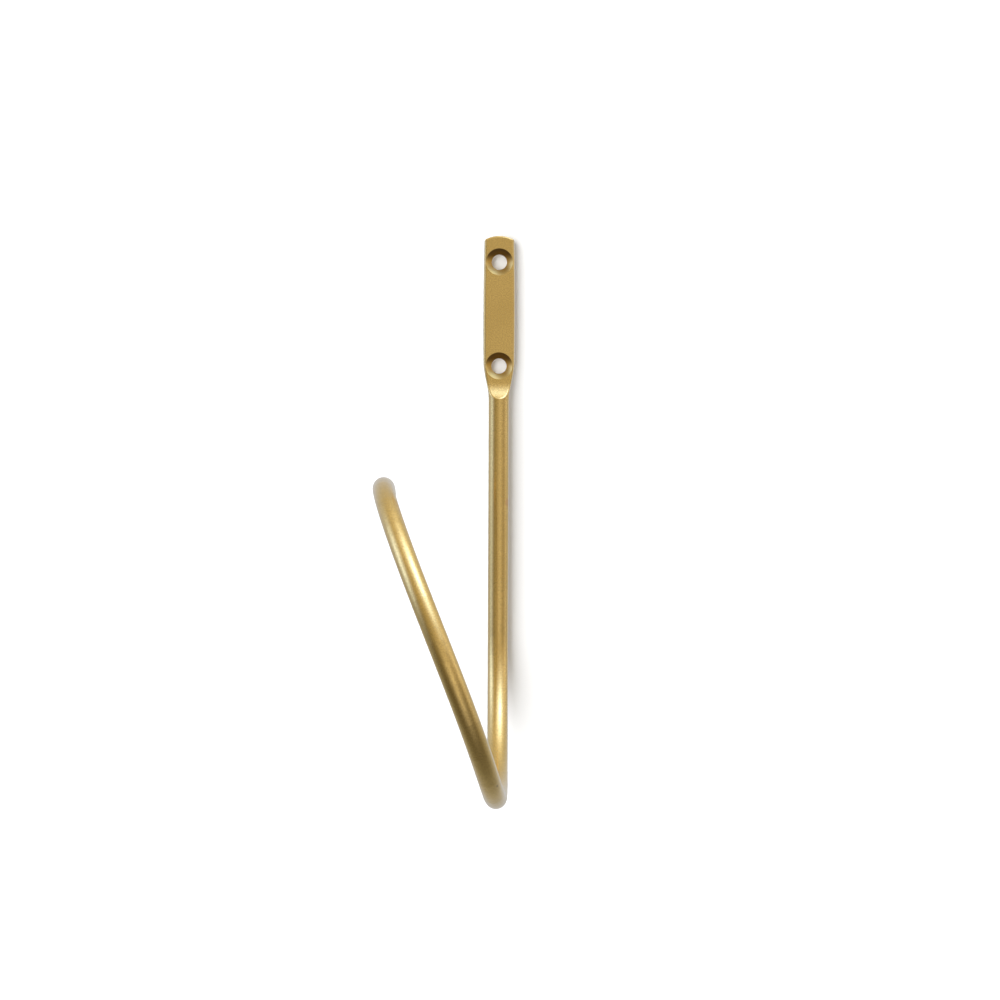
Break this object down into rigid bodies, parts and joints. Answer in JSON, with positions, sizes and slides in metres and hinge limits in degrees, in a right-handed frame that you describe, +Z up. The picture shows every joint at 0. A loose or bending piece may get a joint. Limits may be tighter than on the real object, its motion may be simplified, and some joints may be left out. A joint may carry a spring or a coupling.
{
  "type": "curtain tieback hook",
  "caption": "Round rod bent into a hook that holds a drawn curtain: a flattened end with countersunk holes, a straight shank and a forward loop whose arm leans to one side.",
  "frame": {"origin": "on the wall plane, midway between the two screw holes in the flattened end", "axes": "+Z up along the shank, -Y out of the wall towards the room, +X to the right as seen from the room; the arm leans towards -X"},
  "size_m": [0.0396, 0.092, 0.1634],
  "materials": {
    "tieback_hook": "satin"
  },
  "bodies": {
    "root": {"tieback_hook": "tieback_hook"}
  },
  "joints": []
}
